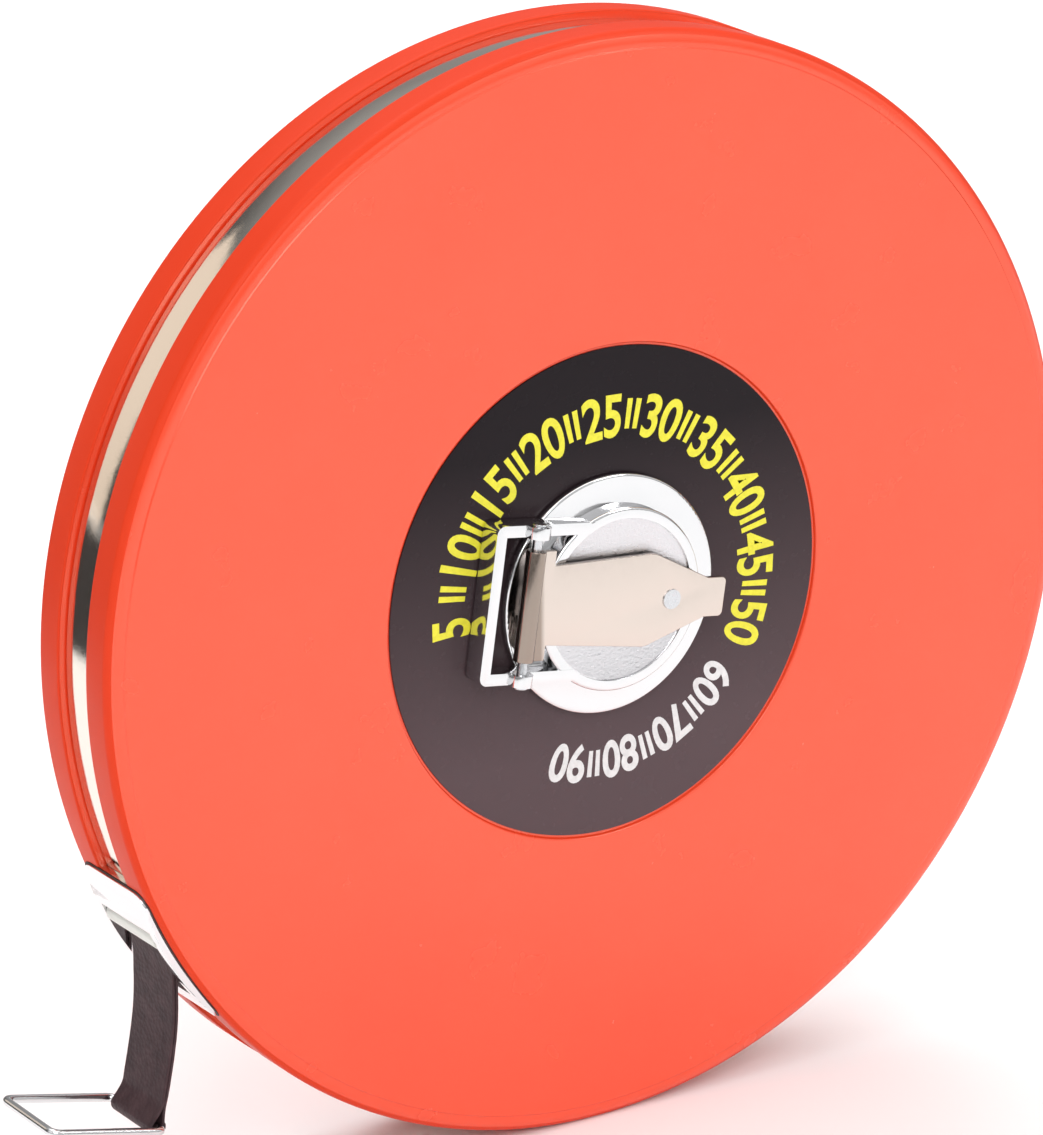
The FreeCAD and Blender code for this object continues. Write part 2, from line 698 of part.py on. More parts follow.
def main():
    """Build every node and write it to parts/."""
    front = front_cover()
    back = back_cover()
    band = rim_band()
    outer_roller, inner_roller = rollers()
    nodes = {
        "front_cover": front,
        "back_cover": back,
        "rim_band": band,
        "mouthpiece": mouthpiece([front, back, band]),
        "roller_pins": roller_pins(),
        "mouth_roller_outer": mouth_roller(*outer_roller),
        "mouth_roller_inner": mouth_roller(*inner_roller),
        "front_label": front_label(),
        "front_bush": front_bush(),
        "back_bush": back_bush(),
        "thrust_washer": thrust_washer(),
        "reel_core": reel_core(),
        "reel_flange_front": reel_disc(-CASE_T + WALL + REEL_GAP, CORE_FRONT_BORE_R),
        "reel_flange_back": reel_disc(-WALL - REEL_GAP - REEL_DISC_T, CORE_BACK_BORE_R),
        "wound_tape": wound_tape(),
        "tape_anchor_pin": tape_anchor_pin(),
        "spindle": spindle(),
        "wave_washer": wave_washer(),
        "back_washer": back_washer(),
        "back_screw": back_screw(),
        "crank_base": crank_base(),
        "hinge_pin": hinge_pin(),
        "crank_arm": crank_arm(),
        "knob_pin": knob_pin(),
        "knob": knob(),
        "tape_run": tape_run(),
        "end_strap": end_strap(),
        "end_ring": end_ring(),
    }
    os.makedirs("parts", exist_ok=True)
    for name, shape in nodes.items():
        print(name, "valid" if shape.isValid() else "NOT VALID", len(shape.Solids), "solid(s),",
              round(shape.Volume, 1), "mm3")
        shape.exportStep("parts/" + name + ".step")


main()
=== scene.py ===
"""Looks of the long tape measure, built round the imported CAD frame. Lengths are in metres."""

import math

import bmesh
import bpy
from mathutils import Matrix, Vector


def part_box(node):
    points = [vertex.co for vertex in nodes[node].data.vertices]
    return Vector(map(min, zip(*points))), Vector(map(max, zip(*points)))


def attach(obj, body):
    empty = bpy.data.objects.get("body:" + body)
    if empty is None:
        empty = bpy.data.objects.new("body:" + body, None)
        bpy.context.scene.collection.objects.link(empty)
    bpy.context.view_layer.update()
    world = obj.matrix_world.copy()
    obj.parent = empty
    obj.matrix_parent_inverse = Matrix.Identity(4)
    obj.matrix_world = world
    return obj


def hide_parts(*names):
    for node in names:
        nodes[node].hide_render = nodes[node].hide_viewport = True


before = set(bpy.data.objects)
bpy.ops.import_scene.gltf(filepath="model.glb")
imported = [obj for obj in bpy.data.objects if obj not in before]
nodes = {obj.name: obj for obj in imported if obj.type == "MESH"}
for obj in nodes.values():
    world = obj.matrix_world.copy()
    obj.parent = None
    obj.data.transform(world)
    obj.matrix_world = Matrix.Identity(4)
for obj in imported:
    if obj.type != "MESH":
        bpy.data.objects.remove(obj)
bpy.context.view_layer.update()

MM = 0.001

# Places that follow from the frame
CASE_LOW, CASE_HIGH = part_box("front_cover")
BACK_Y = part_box("back_cover")[1].y
FRONT_Y = CASE_LOW.y
MID_Y = (FRONT_Y + BACK_Y) / 2
CASE_R = CASE_HIGH.x
LABEL_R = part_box("front_label")[1].x
LABEL_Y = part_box("front_label")[0].y
BAND_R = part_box("rim_band")[1].x
FLOOR_Z = -CASE_R

# The strap's course from the throat to the loop: x, z in millimetres and its lean
STRAP_COURSE = [(-72.0, -41.0, 0), (-71.7, -43.2, 0), (-71.42, -45.35, 0), (-71.42, -48.2, 1),
                (-71.45, -51.0, 2), (-71.65, -54.2, 5), (-72.1, -57.5, 8), (-72.65, -60.6, 12),
                (-73.3, -63.8, 15), (-73.85, -66.0, 18)]

# The wire ring and the loop that holds it
LOOP_X, LOOP_Z = -74.8 * MM, -68.7 * MM
LOOP_FOLD_R = 1.14 * MM
RING_TILT = math.radians(12.8)
RING_LENGTH = 18.5 * MM
RING_HALF_W = 7.3 * MM
RING_CORNER = 1.5 * MM
WIRE_R = 0.65 * MM

# The mouth, in degrees about the reel axis
THROAT_START, THROAT_SPAN = 202.9, 13.9
SADDLE_START, SADDLE_END = 201.7, 218.8
BAND_START, BAND_SPAN = -143.1, 345.9

# The straight run of tape inside the case
RUN_ANGLE = math.radians(187.680)
RUN_R = (76.845 + 0.175) * MM
RUN_SCALE_ZERO = 33

# Camera
VIEW_AZIMUTH = math.radians(-33.44)
VIEW_ELEVATION = math.radians(19.03)
VIEW_DISTANCE = 0.880
VIEW_AIM = Vector((-0.01383, -0.01885, 0.00606))
LENS_MM = 192.3


# ---------------------------------------------------------------- mesh helpers

def new_object(name, bm):
    """Object from a bmesh, shaded smooth by angle."""
    bmesh.ops.recalc_face_normals(bm, faces=bm.faces)
    mesh = bpy.data.meshes.new(name)
    bm.to_mesh(mesh)
    bm.free()
    obj = bpy.data.objects.new(name, mesh)
    bpy.context.scene.collection.objects.link(obj)
    smooth(obj)
    return obj


def smooth(obj, degrees=32):
    """Smooth shading with sharp edges kept above an angle."""
    obj.data.polygons.foreach_set("use_smooth", [True] * len(obj.data.polygons))
    obj.data.set_sharp_from_angle(angle=math.radians(degrees))


def rounded(points, radii, steps=5):
    """Outline with each corner turned into an arc of its radius; 0 leaves a corner alone."""
    result = []
    count = len(points)
    for i, (point, radius) in enumerate(zip(points, radii)):
        here = Vector(point)
        if radius == 0:
            result.append(here)
            continue
        before = Vector(points[i - 1]) - here
        after = Vector(points[(i + 1) % count]) - here
        half = before.angle(after) / 2
        cut = min(radius / math.tan(half), before.length * 0.49, after.length * 0.49)
        start = here + before.normalized() * cut
        end = here + after.normalized() * cut
        for step in range(steps + 1):
            t = step / steps
            result.append(start * (1 - t) ** 2 + here * (2 * t * (1 - t)) + end * t ** 2)
    return result


def lathe(name, outline, segments=360, start=0.0, span=360.0):
    """Solid of revolution about the reel axis from a closed outline of (r, y)."""
    bm = bmesh.new()
    full = span >= 360.0
    turns = segments if full else segments + 1
    rings = []
    for i in range(turns):
        angle = math.radians(start + span * i / segments)
        rings.append([bm.verts.new((r * math.cos(angle), y, r * math.sin(angle))) for r, y in outline])
    count = len(outline)
    for i in range(segments):
        here, there = rings[i], rings[(i + 1) % turns]
        for j in range(count):
            k = (j + 1) % count
            bm.faces.new((here[j], here[k], there[k], there[j]))
    if not full:
        bm.faces.new(rings[0])
        bm.faces.new(rings[-1])
    return new_object(name, bm)


def cut_away(obj, cutter):
    """Boolean difference, applied at once; the cutter is removed."""
    modifier = obj.modifiers.new("cut", "BOOLEAN")
    modifier.operation = "DIFFERENCE"
    modifier.object = cutter
    modifier.solver = "EXACT"
    apply_modifiers(obj)
    bpy.data.objects.remove(cutter)
    smooth(obj)


def apply_modifiers(obj):
    """Bake an object's modifiers into its mesh."""
    depsgraph = bpy.context.evaluated_depsgraph_get()
    mesh = bpy.data.meshes.new_from_object(obj.evaluated_get(depsgraph))
    obj.modifiers.clear()
    obj.data = mesh


# ---------------------------------------------------------------- material helpers

class Shader:
    """A principled material with its nodes at hand."""

    def __init__(self, name, color, roughness, **sockets):
        self.material = bpy.data.materials.new(name)
        self.material.use_nodes = True
        self.tree = self.material.node_tree
        self.bsdf = self.tree.nodes["Principled BSDF"]
        self.bsdf.inputs["Base Color"].default_value = (*color, 1)
        self.bsdf.inputs["Roughness"].default_value = roughness
        for key, value in sockets.items():
            self.bsdf.inputs[key.replace("_", " ")].default_value = value
        self.coords = self.add("ShaderNodeTexCoord")

    def add(self, kind, **settings):
        """New node with its settings and input values."""
        node = self.tree.nodes.new(kind)
        for key, value in settings.items():
            if key in node.inputs:
                node.inputs[key].default_value = value
            else:
                setattr(node, key, value)
        return node

    def link(self, a, b):
        self.tree.links.new(a, b)

    def noise(self, scale, detail=3.0, stretch=None):
        """Noise in object space, stretched if asked. Scale is in cycles a metre."""
        node = self.add("ShaderNodeTexNoise", Scale=scale, Detail=detail)
        if stretch:
            mapping = self.add("ShaderNodeMapping", Scale=stretch)
            self.link(self.coords.outputs["Object"], mapping.inputs["Vector"])
            self.link(mapping.outputs["Vector"], node.inputs["Vector"])
        else:
            self.link(self.coords.outputs["Object"], node.inputs["Vector"])
        return node.outputs["Fac"]

    def ramp(self, fac, low, high, at=(0.3, 0.7)):
        """Colour ramp between two colours."""
        node = self.add("ShaderNodeValToRGB")
        node.color_ramp.elements[0].position = at[0]
        node.color_ramp.elements[1].position = at[1]
        node.color_ramp.elements[0].color = (*low, 1)
        node.color_ramp.elements[1].color = (*high, 1)
        self.link(fac, node.inputs["Fac"])
        return node.outputs["Color"]

    def spread(self, fac, low, high, start=0.3, end=0.7):
        """Value mapped from a factor to a range."""
        node = self.add("ShaderNodeMapRange")
        node.inputs["From Min"].default_value = start
        node.inputs["From Max"].default_value = end
        node.inputs["To Min"].default_value = low
        node.inputs["To Max"].default_value = high
        self.link(fac, node.inputs["Value"])
        return node.outputs["Result"]

    def place(self):
        """Object coordinates, one axis at a time."""
        node = self.add("ShaderNodeSeparateXYZ")
        self.link(self.coords.outputs["Object"], node.inputs["Vector"])
        return node

    def reel_radius(self, place):
        """Distance from the reel axis."""
        flat = self.add("ShaderNodeCombineXYZ")
        self.link(place.outputs["X"], flat.inputs["X"])
        self.link(place.outputs["Z"], flat.inputs["Z"])
        radius = self.add("ShaderNodeVectorMath", operation="LENGTH")
        self.link(flat.outputs["Vector"], radius.inputs[0])
        return radius.outputs["Value"]

    def bump(self, height, distance, strength=1.0):
        """Bump added on top of any bump that is already there."""
        node = self.add("ShaderNodeBump", Distance=distance, Strength=strength)
        self.link(height, node.inputs["Height"])
        old = self.bsdf.inputs["Normal"].links
        if old:
            self.link(old[0].from_socket, node.inputs["Normal"])
        self.link(node.outputs["Normal"], self.bsdf.inputs["Normal"])


def red_plastic(name, depth, roughness, gloss):
    """Moulded red case: fine orange peel and faint mottling in the colour and the gloss."""
    s = Shader(name, (0.90, 0.05, 0.013), roughness, Specular_IOR_Level=gloss,
               Specular_Tint=(1, 0.96, 0.78, 1))
    low = tuple(c * depth for c in (0.86, 0.049, 0.011))
    high = tuple(c * depth for c in (0.90, 0.055, 0.014))
    s.link(s.ramp(s.noise(38, 4), low, high), s.bsdf.inputs["Base Color"])
    s.link(s.spread(s.noise(120, 5), roughness - 0.03, roughness + 0.04), s.bsdf.inputs["Roughness"])
    s.bump(s.noise(1300, 2), 0.000004, 0.05)
    s.bump(s.noise(70, 2), 0.00005, 0.2)
    return s.material


def chrome(name, color):
    """Chrome plate over pressed steel: slightly wavy, with fine wiping marks."""
    s = Shader(name, color, 0.08, Metallic=1.0)
    s.link(s.spread(s.noise(900, 4, (1, 1, 8)), 0.05, 0.13), s.bsdf.inputs["Roughness"])
    s.bump(s.noise(140, 2), 0.00012, 0.35)
    s.bump(s.noise(5000, 2, (1, 1, 10)), 0.000004, 0.3)
    return s.material


def hub_chrome():
    """Chrome with a fine satin stipple on the boss's sunk face."""
    s = Shader("hub chrome", (0.76, 0.76, 0.77), 0.1, Metallic=1.0)
    place = s.place()
    radius = s.reel_radius(place)
    inside = s.spread(radius, 1.0, 0.0, 12.2 * MM, 12.4 * MM)
    above = s.spread(place.outputs["Y"], 0.0, 1.0, LABEL_Y - 3.9 * MM, LABEL_Y - 3.75 * MM)
    sunk = s.add("ShaderNodeMath", operation="MULTIPLY")
    s.link(inside, sunk.inputs[0])
    s.link(above, sunk.inputs[1])
    satin = sunk.outputs["Value"]
    s.link(s.ramp(satin, (0.74, 0.74, 0.75), (0.68, 0.67, 0.69), (0.0, 1.0)), s.bsdf.inputs["Base Color"])
    grain = s.noise(2300, 4)
    rough = s.add("ShaderNodeMath", operation="MULTIPLY_ADD")
    s.link(satin, rough.inputs[0])
    rough.inputs[1].default_value = 0.2
    s.link(s.spread(s.noise(900, 4, (1, 1, 8)), 0.06, 0.15), rough.inputs[2])
    s.link(rough.outputs["Value"], s.bsdf.inputs["Roughness"])
    s.bump(s.noise(140, 2), 0.00012, 0.3)
    pits = s.add("ShaderNodeMath", operation="MULTIPLY")
    s.link(satin, pits.inputs[0])
    s.link(grain, pits.inputs[1])
    s.bump(pits.outputs["Value"], 0.00012, 0.7)
    return s.material


def label_black():
    """Black printed film under a gloss varnish, with a painted reflection that lightens it towards the
    bottom.
    """
    s = Shader("label black", (0.012, 0.011, 0.012), 0.24, Specular_IOR_Level=0.15)
    place = s.place()
    # Painted reflection: the base colour lightens from black to a warm grey towards the bottom of the label.
    depth = s.spread(place.outputs["Z"], 1.0, 0.0, -0.03, 0.03)
    painted_sheen = s.ramp(depth, (0.010, 0.006, 0.008), (0.092, 0.060, 0.066), (0.1, 0.9))
    s.link(painted_sheen, s.bsdf.inputs["Base Color"])
    s.link(s.spread(s.noise(400, 4), 0.19, 0.30), s.bsdf.inputs["Roughness"])
    s.bump(s.noise(900, 2), 0.000006, 0.12)
    return s.material


def ink(name, color):
    """Printed ink with slightly uneven cover."""
    s = Shader(name, color, 0.35)
    dark = tuple(c * 0.86 for c in color)
    s.link(s.ramp(s.noise(1500, 4), dark, color), s.bsdf.inputs["Base Color"])
    return s.material


def leatherette():
    """Black grained coated fabric."""
    s = Shader("strap black", (0.045, 0.026, 0.030), 0.55, Specular_IOR_Level=0.25)
    s.link(s.ramp(s.noise(420, 5), (0.036, 0.018, 0.021), (0.068, 0.036, 0.040)), s.bsdf.inputs["Base Color"])
    grain = s.add("ShaderNodeTexVoronoi", Scale=1500.0)
    s.link(s.coords.outputs["Object"], grain.inputs["Vector"])
    s.bump(grain.outputs["Distance"], 0.00012, 0.8)
    s.bump(s.noise(4200, 3), 0.00003, 0.5)
    return s.material


def plain_metal(name, color, roughness):
    """Zinc plated or drawn steel with fine streaks."""
    s = Shader(name, color, roughness, Metallic=1.0)
    streaks = s.spread(s.noise(1400, 4, (1, 6, 1)), roughness * 0.7, roughness * 1.4)
    s.link(streaks, s.bsdf.inputs["Roughness"])
    s.bump(s.noise(3500, 2, (1, 8, 1)), 0.000006, 0.4)
    return s.material


def arm_nickel():
    """Nickel plate, its warm tint partly its own and partly a painted reflection, darkened to brown where the
    arm is rolled round its hinge pin as painted shade.
    """
    # Warm base colour: partly the plate's own tint, partly a painted reflection of a warm surround.
    s = Shader("arm nickel", (0.66, 0.575, 0.52), 0.16, Metallic=1.0)
    place = s.place()
    # Painted shade: the base colour turns dark brown on the curl round the hinge pin.
    knuckle_shade = s.spread(place.outputs["X"], 1.0, 0.0, -14.8 * MM, -14.0 * MM)
    s.link(s.ramp(knuckle_shade, (0.66, 0.575, 0.52), (0.33, 0.27, 0.23), (0.0, 1.0)), s.bsdf.inputs["Base Color"])
    s.link(s.spread(s.noise(1400, 4, (1, 6, 1)), 0.11, 0.22), s.bsdf.inputs["Roughness"])
    s.bump(s.noise(90, 2), 0.0002, 0.4)
    s.bump(s.noise(3500, 2, (1, 8, 1)), 0.000006, 0.4)
    return s.material


def plain_plastic(name, color, roughness):
    """Moulded plastic with a fine texture."""
    s = Shader(name, color, roughness)
    dark = tuple(c * 0.9 for c in color)
    s.link(s.ramp(s.noise(90, 4), dark, color), s.bsdf.inputs["Base Color"])
    s.bump(s.noise(3000, 2), 0.00002, 0.4)
    return s.material


def tape_side():
    """Edge of the wound tape: many thin turns round the reel axis."""
    s = Shader("tape yellow", (0.86, 0.62, 0.06), 0.5)
    place = s.place()
    radius = s.reel_radius(place)
    turns = s.add("ShaderNodeMath", operation="MULTIPLY")
    turns.inputs[1].default_value = 2 * math.pi / (0.36 * MM)
    s.link(radius, turns.inputs[0])
    wave = s.add("ShaderNodeMath", operation="SINE")
    s.link(turns.outputs["Value"], wave.inputs[0])
    s.bump(wave.outputs["Value"], 0.00008, 0.6)
    s.link(s.ramp(s.noise(60, 4), (0.78, 0.54, 0.05), (0.92, 0.68, 0.09)), s.bsdf.inputs["Base Color"])
    return s.material


# ---------------------------------------------------------------- pieces

def set_material(obj, material):
    obj.data.materials.clear()
    obj.data.materials.append(material)


def finish_piece(obj, material, body, slot, *replaced):
    """Give a new piece its material and body and hide the CAD nodes that it stands for; slot is not used."""
    set_material(obj, material)
    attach(obj, body)
    if replaced:
        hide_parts(*replaced)


def shell_outline(flip):
    """Outline of one shell as (r, y), rounded at its corners; flip makes the front one."""
    edge = [(81.2, 0.0, 0.15), (81.4, -0.2, 0.12), (81.6, -0.2, 0.1)]
    steps = 16
    for i in range(1, steps + 1):
        angle = math.pi / 2 * i / steps
        edge.append((81.6 + 2.4 * math.sin(angle), -1.75 + 1.55 * math.cos(angle), 0.0))
    edge += [(84.0, -6.3, 0.35), (82.2, -6.3, 0.2), (82.2, -10.3, 0.0), (79.9, -10.3, 0.0), (79.9, -2.4, 0.0)]
    if flip:
        face = [(15.2, -0.6, 0.1), (37.75, -0.6, 0.15), (37.95, 0.0, 0.3)]
        inside = [(15.2, -2.4, 0.0)]
    else:
        face = [(4.5, -2.6, 0.1), (8.3, -2.6, 0.2), (8.3, 0.0, 0.35), (37.4, 0.0, 0.15), (37.4, -0.4, 0.1),
                (38.2, -0.4, 0.1), (38.2, 0.0, 0.15)]
        inside = [(11.3, -2.4, 0.2), (11.3, -5.5, 0.2), (4.5, -5.5, 0.0)]
    mm = face + edge + inside
    outline = rounded([(r * MM, y * MM) for r, y, _ in mm], [c * MM for _, _, c in mm])
    if flip:
        outline = [Vector((p.x, FRONT_Y - p.y)) for p in outline]
    return outline


def throat_cutter():
    """Sector of the rim that the mouthpiece fills."""
    low, high = MID_Y - 7.8 * MM, MID_Y + 7.8 * MM
    corners = [(79.0 * MM, low), (86.0 * MM, low), (86.0 * MM, high), (79.0 * MM, high)]
    return lathe("cutter", corners, 24, THROAT_START, THROAT_SPAN)


def build_shells():
    for name, flip in (("shell_front", True), ("shell_back", False)):
        shell = lathe(name, shell_outline(flip))
        cut_away(shell, throat_cutter())
        finish_piece(shell, RED, "case", "case_red", "front_cover" if flip else "back_cover")
        shell.data.materials.append(RIM_RED)
        for polygon in shell.data.polygons:
            if math.hypot(polygon.center.x, polygon.center.z) > 83.2 * MM:
                polygon.material_index = 1


def build_band():
    """Bright band in the groove, its edges rolled a little inwards."""
    half = 3.65 * MM
    inner, outer = BAND_R - 0.55 * MM, BAND_R
    corners = [(inner, MID_Y - half), (outer, MID_Y - half), (outer, MID_Y + half), (inner, MID_Y + half)]
    outline = rounded(corners, [0, 0.35 * MM, 0.35 * MM, 0])
    band = lathe("band", outline, 420, BAND_START, BAND_SPAN)
    finish_piece(band, BAND, "case", "bright_chrome", "rim_band")


def build_seam():
    """Dark strip round the mouthpiece's edge, bent to the rim: a painted shadow standing for the gap between
    the chrome and the red case.
    """
    start, end = math.radians(SADDLE_START), math.radians(SADDLE_END)
    half = 8.7 * MM
    loops = []
    for grow in (0.28 * MM, -0.5 * MM):
        turn = grow / CASE_R
        corners = [(start - turn, -half - grow), (end + turn, -half - grow), (end + turn, half + grow),
                   (start - turn, half + grow)]
        flat = rounded([(a * CASE_R, y) for a, y in corners], [2.6 * MM + grow] * 4, 8)
        loop = []
        for i, point in enumerate(flat):
            after = flat[(i + 1) % len(flat)]
            parts = 24 if i % 9 == 8 else 1
            loop += [point.lerp(after, step / parts) for step in range(parts)]
        loops.append(loop)
    bm = bmesh.new()
    rows = []
    below, above = CASE_R - 0.1 * MM, CASE_R + 0.1 * MM
    for loop, r in ((loops[0], below), (loops[0], above), (loops[1], above), (loops[1], below)):
        rows.append([bm.verts.new((r * math.cos(p.x / CASE_R), MID_Y + p.y, r * math.sin(p.x / CASE_R)))
                     for p in loop])
    for i in range(4):
        here, there = rows[i], rows[(i + 1) % 4]
        for j in range(len(here)):
            k = (j + 1) % len(here)
            bm.faces.new((here[j], here[k], there[k], there[j]))
    gap_shadow = new_object("mouth_gap_shadow", bm)
    finish_piece(gap_shadow, GAP_SHADOW, "case", "knob_black")


def build_label():
    """Black film ring with its edge turned down."""
    back = LABEL_Y + 0.24 * MM
    corners = [(15.6 * MM, back), (15.6 * MM, LABEL_Y), (LABEL_R, LABEL_Y), (LABEL_R, back)]
    outline = rounded(corners, [0, 0.08 * MM, 0.12 * MM, 0])
    label = lathe("label", outline, 300)
    finish_piece(label, BLACK, "case", "label_black", "front_label")


def on_label(points, angle, radius, name):
    """Bend flat shapes drawn in millimetres round the label; their tops point outwards."""
    bm = bmesh.new()
    for outline in points:
        front = []
        for x, y in outline:
            r = radius + y
            turn = math.radians(angle) - x / radius
            spot = (r * MM * math.cos(turn), LABEL_Y - 0.03 * MM, r * MM * math.sin(turn))
            front.append(bm.verts.new(spot))
        face = bm.faces.new(front)
        sides = bmesh.ops.extrude_face_region(bm, geom=[face])
        moved = [item for item in sides["geom"] if isinstance(item, bmesh.types.BMVert)]
        bmesh.ops.translate(bm, verts=moved, vec=(0, 0.03 * MM, 0))
    mesh = bpy.data.meshes.new(name)
    bmesh.ops.recalc_face_normals(bm, faces=bm.faces)
    bm.to_mesh(mesh)
    bm.free()
    return mesh


def number_mesh(text, angle, radius, height):
    """Number with bold strokes, bent round the label."""
    curve = bpy.data.curves.new("number", "FONT")
    curve.body = text
    curve.size = height * 1.38
    curve.offset = 0.2
    curve.align_x = "CENTER"
    curve.extrude = 0.015
    curve.resolution_u = 6
    obj = bpy.data.objects.new("number", curve)
    mesh = bpy.data.meshes.new_from_object(obj)
    bpy.data.objects.remove(obj)
    for vertex in mesh.vertices:
        x, y, z = vertex.co
        r = radius - height / 2 + y
        turn = math.radians(angle) - x * 0.8 / radius
        vertex.co = (r * MM * math.cos(turn), LABEL_Y - (z + 0.015) * MM, r * MM * math.sin(turn))
    return mesh


def tick(width, length, drop=0.0):
    """One graduation line as an outline in millimetres."""
    low, high = -length / 2 - drop, length / 2 - drop
    return [(-width / 2, low), (width / 2, low), (width / 2, high), (-width / 2, high)]


def build_dial(name, ink_material, slot, numbers, start, step, radius, height):
    """Generic scale: a number at each step with two ticks between neighbours."""
    bm = bmesh.new()
    for i, text in enumerate(numbers):
        angle = start - step * i
        bm.from_mesh(number_mesh(text, angle, radius, height))
        if i + 1 < len(numbers):
            for part, length in ((0.43, height * 0.7), (0.57, height * 0.7)):
                mesh = on_label([tick(height * 0.13, length)], angle - step * part, radius, "tick")
                bm.from_mesh(mesh)
    dial = new_object(name, bm)
    finish_piece(dial, ink_material, "case", slot)


def from_node(name, node_name, bevel_mm, material, body, slot, degrees=30):
    """Copy of a CAD node's shape with softened edges and smooth faces."""
    mesh = nodes[node_name].data.copy()
    mesh.name = name
    obj = bpy.data.objects.new(name, mesh)
    bpy.context.scene.collection.objects.link(obj)
    bm = bmesh.new()
    bm.from_mesh(mesh)
    bmesh.ops.remove_doubles(bm, verts=bm.verts, dist=0.002 * MM)
    bmesh.ops.dissolve_limit(bm, angle_limit=math.radians(0.5), verts=bm.verts, edges=bm.edges)
    bm.to_mesh(mesh)
    bm.free()
    if bevel_mm:
        bevel = obj.modifiers.new("soft edges", "BEVEL")
        bevel.width = bevel_mm * MM
        bevel.segments = 3
        bevel.limit_method = "ANGLE"
        bevel.angle_limit = math.radians(degrees)
        bevel.use_clamp_overlap = True
        bevel.miter_outer = "MITER_ARC"
        apply_modifiers(obj)
    smooth(obj, degrees)
    finish_piece(obj, material, body, slot, node_name)
    return obj


def sweep(name, path, normal, section, closed):
    """Section of (side, along the normal) points swept along a path that lies in one plane."""
    bm = bmesh.new()
    rings = []
    count = len(path)
    for i, point in enumerate(path):
        if closed:
            ahead = path[(i + 1) % count] - path[i - 1]
        else:
            ahead = path[min(i + 1, count - 1)] - path[max(i - 1, 0)]
        side = normal.cross(ahead).normalized()
        rings.append([bm.verts.new(point + side * a + normal * b) for a, b in section])
    size = len(section)
    for i in range(count if closed else count - 1):
        here, there = rings[i], rings[(i + 1) % count]
        for j in range(size):
            k = (j + 1) % size
            bm.faces.new((here[j], here[k], there[k], there[j]))
    if not closed:
        bm.faces.new(rings[0])
        bm.faces.new(rings[-1])
    return new_object(name, bm)


def spline(points, steps=8):
    """Smooth curve through points."""
    result = []
    count = len(points)
    for i in range(count - 1):
        p0, p1 = points[max(i - 1, 0)], points[i]
        p2, p3 = points[i + 1], points[min(i + 2, count - 1)]
        for step in range(steps):
            t = step / steps
            result.append(0.5 * (2 * p1 + (p2 - p0) * t + (2 * p0 - 5 * p1 + 4 * p2 - p3) * t * t
                                 + (3 * p1 - p0 - 3 * p2 + p3) * t ** 3))
    result.append(points[-1])
    return result


def strap_line(offset):
    """Middle line of the strap in the XZ plane, moved sideways; offset is away from the reel."""
    return [(x * MM - offset * math.cos(math.radians(lean)), z * MM + offset * math.sin(math.radians(lean)))
            for x, z, lean in STRAP_COURSE]


def build_strap():
    """One strip of coated fabric folded round the ring's wire and sewn to itself."""
    layer = 0.26 * MM
    outer_side = strap_line(layer)
    inner_side = strap_line(-layer)
    turns = [math.radians(degrees) for degrees in range(150, 400, 22)]
    round_wire = [(LOOP_X + LOOP_FOLD_R * math.cos(t), LOOP_Z + LOOP_FOLD_R * math.sin(t)) for t in turns]
    flat = outer_side + round_wire + inner_side[::-1]
    path = spline([Vector((x, MID_Y, z)) for x, z in flat])
    half_w, half_t = 5.7 * MM, 0.235 * MM
    corners = [(-half_t, -half_w), (half_t, -half_w), (half_t, half_w), (-half_t, half_w)]
    outline = rounded(corners, [0.2 * MM] * 4, 4)
    strap = sweep("strap", path, Vector((0, 1, 0)), [tuple(p) for p in outline], False)
    finish_piece(strap, STRAP, "tape_end", "strap_black", "end_strap")


def build_graduations():
    """Generic millimetre scale with numbers on the outer face of the tape's straight run."""
    out = Vector((math.cos(RUN_ANGLE), 0, math.sin(RUN_ANGLE)))
    along = Vector((-math.sin(RUN_ANGLE), 0, math.cos(RUN_ANGLE)))
    start = out * RUN_R + Vector((0, MID_Y, 0))
    bm = bmesh.new()
    for i in range(1, RUN_SCALE_ZERO):
        length = 13.0 if i % 10 == 0 else 5.0 if i % 5 == 0 else 3.0
        width = 0.22 if i % 10 == 0 else 0.16
        sides = (0.0,) if i % 10 == 0 else (-(6.45 - length / 2), 6.45 - length / 2)
        for side in sides:
            base = start + along * (RUN_SCALE_ZERO - i) * MM + Vector((0, side * MM, 0))
            half = min(length / 2, 6.35) * MM
            corners = []
            for a, b, c in ((-1, -1, 0), (1, -1, 0), (1, 1, 0), (-1, 1, 0),
                            (-1, -1, 1), (1, -1, 1), (1, 1, 1), (-1, 1, 1)):
                spot = base + along * a * width / 2 * MM + Vector((0, b * half, 0)) + out * c * 0.02 * MM
                corners.append(bm.verts.new(spot))
            for face in ((0, 3, 2, 1), (4, 5, 6, 7), (0, 1, 5, 4), (1, 2, 6, 5), (2, 3, 7, 6), (3, 0, 4, 7)):
                bm.faces.new([corners[k] for k in face])
    for count in (1, 2, 3):
        curve = bpy.data.curves.new("digit", "FONT")
        curve.body = str(count)
        curve.size = 4.4
        curve.offset = 0.06
        curve.align_x = "CENTER"
        curve.extrude = 0.01
        obj = bpy.data.objects.new("digit", curve)
        mesh = bpy.data.meshes.new_from_object(obj)
        bpy.data.objects.remove(obj)
        base = start + along * (RUN_SCALE_ZERO - count * 10 + 3.4) * MM
        for vertex in mesh.vertices:
            x, y, z = vertex.co
            vertex.co = base + along * y * MM + Vector((0, x * MM, 0)) + out * (z + 0.01) * MM
        bm.from_mesh(mesh)
    marks = new_object("tape_marks", bm)
    finish_piece(marks, BLACK_INK, "tape_end", "knob_black")


